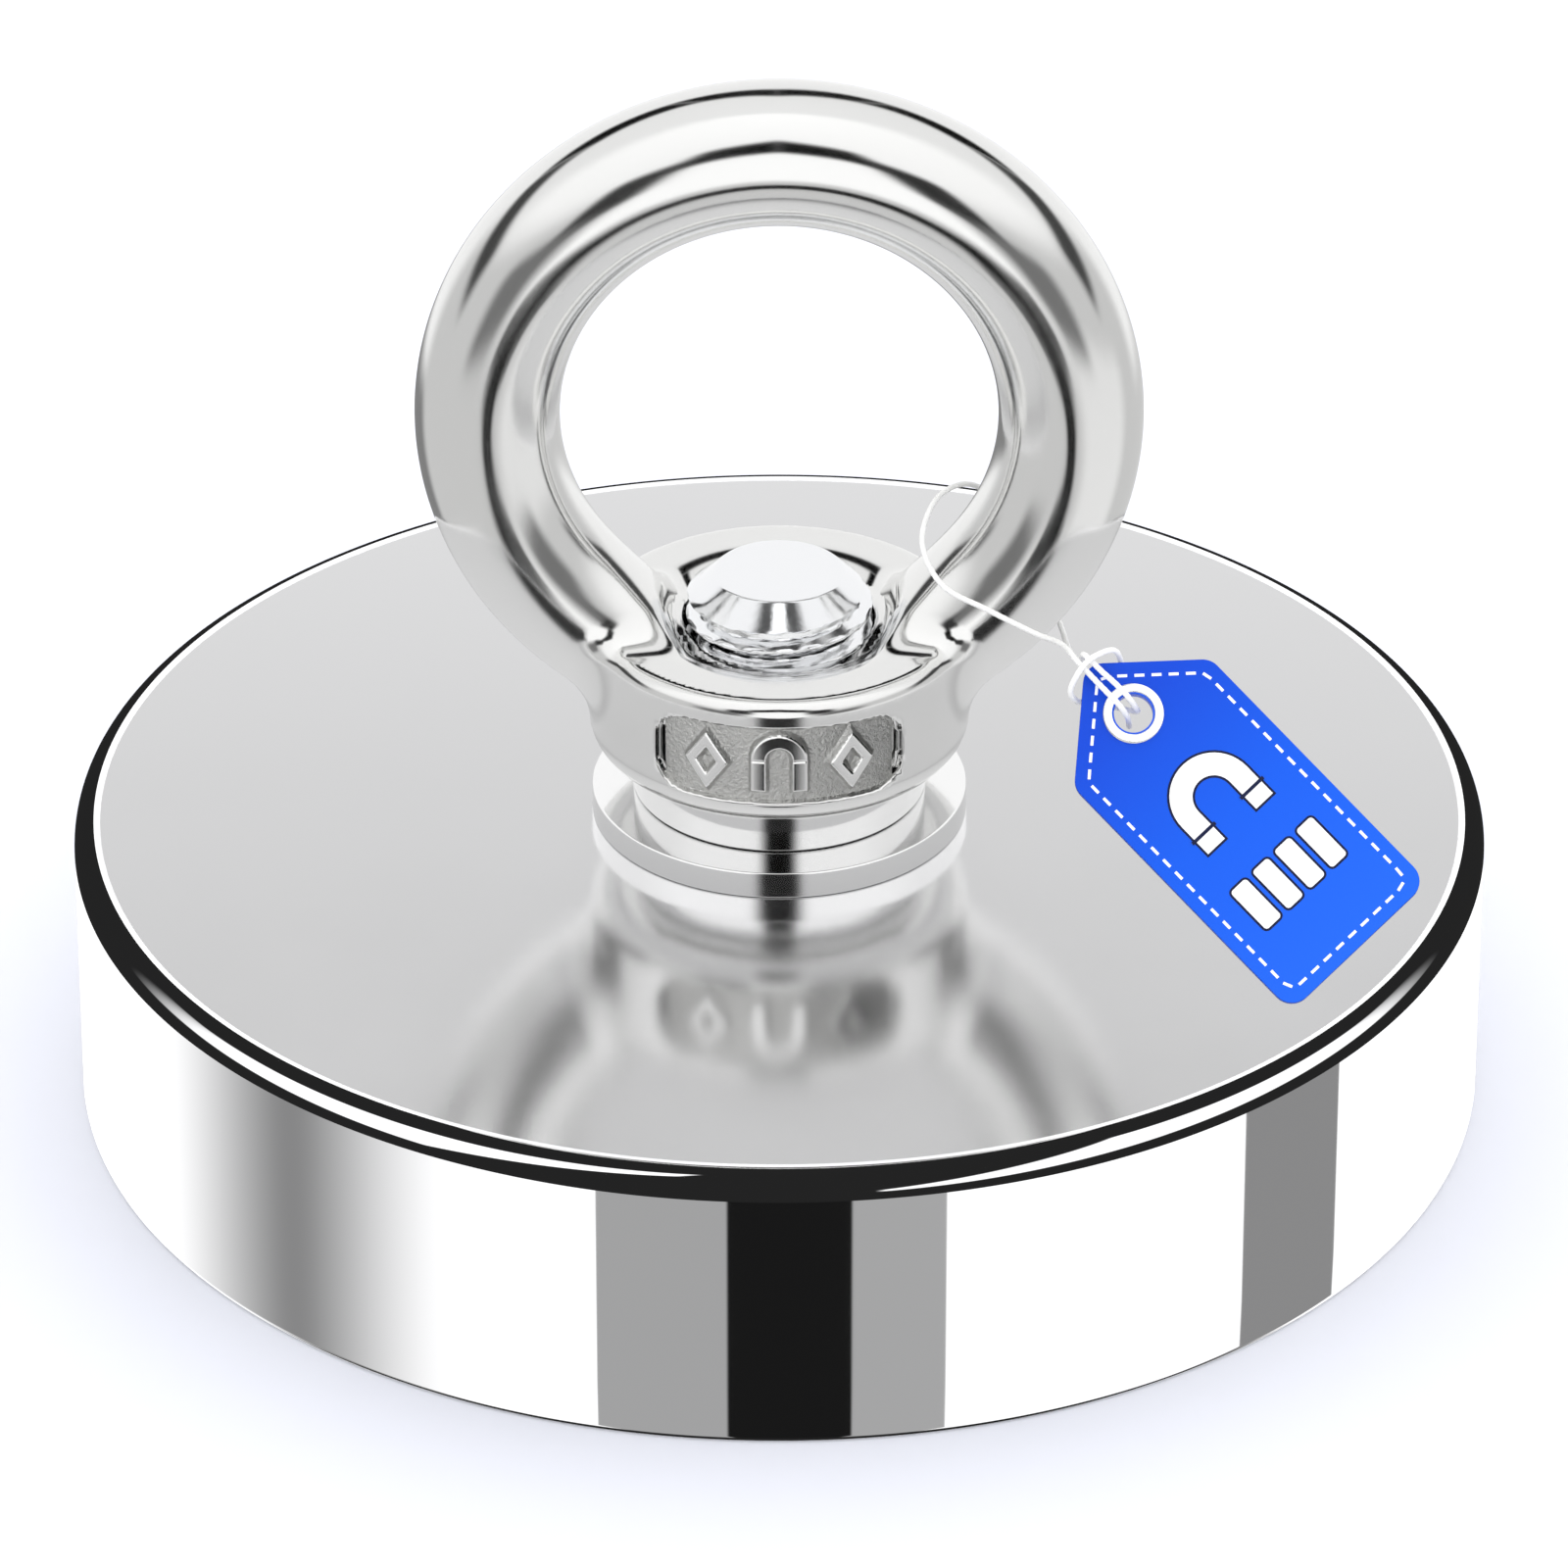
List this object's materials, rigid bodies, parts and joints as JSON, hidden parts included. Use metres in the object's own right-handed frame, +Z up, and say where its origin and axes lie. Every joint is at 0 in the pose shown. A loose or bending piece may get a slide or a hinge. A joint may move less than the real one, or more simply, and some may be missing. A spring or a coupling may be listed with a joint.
{
  "type": "magnet fishing magnet",
  "caption": "Round pot magnet for magnet fishing: steel cup with a ring magnet, screw, washers, a rope eye nut and a hang tag on a string.",
  "frame": {"origin": "centre of the working face, on the plane of the steel rim", "axes": "+Z up the screw's axis, away from the working face; the ring stands in the XZ plane and the rope passes along Y; the tag hangs towards +X and -Y"},
  "size_m": [0.12, 0.12, 0.0934],
  "materials": {
    "nickel_plated_steel": "mirror-bright nickel plate",
    "nickel_plated_magnet": "satin nickel plate on sintered magnet",
    "potting_resin": "cast black resin",
    "zinc_plated_steel": "bright zinc plate",
    "polished_stainless": "cast and polished stainless",
    "blue_card": "laminated card, printed blue",
    "eyelet_metal": "satin plated",
    "white_string": "waxed cord"
  },
  "bodies": {
    "magnet": {"steel_cup": "nickel_plated_steel", "ring_magnet": "nickel_plated_magnet", "potting_outer": "potting_resin", "potting_inner": "potting_resin", "countersunk_screw": "zinc_plated_steel", "flat_washer": "polished_stainless"},
    "lock_washer": {"lock_washer": "polished_stainless"},
    "eye": {"eye_nut": "polished_stainless", "tag_string": "white_string"},
    "tag": {"tag_card": "blue_card", "tag_eyelet": "eyelet_metal", "tag_eyelet_washer": "eyelet_metal"}
  },
  "joints": [
    {"name": "eye_rise", "type": "slide", "parent": "magnet", "child": "lock_washer", "axis": [0, 0, 1], "range_m": [0, 0.0146]},
    {"name": "eye_turn", "type": "hinge", "parent": "lock_washer", "child": "eye", "pos_m": [0, 0, 0.038], "axis": [0, 0, 1], "range_deg": [0, 2610]},
    {"name": "tag_swing", "type": "hinge", "parent": "eye", "child": "tag", "pos_m": [0.0252, -0.0181, 0.0492], "axis": [-1, 0, 0], "range_deg": [0, 75], "deforming": ["tag_string"]}
  ],
  "couplings": [
    {"joint": "eye_rise", "follows": "eye_turn", "m_per_rad": 0.00031831}
  ]
}
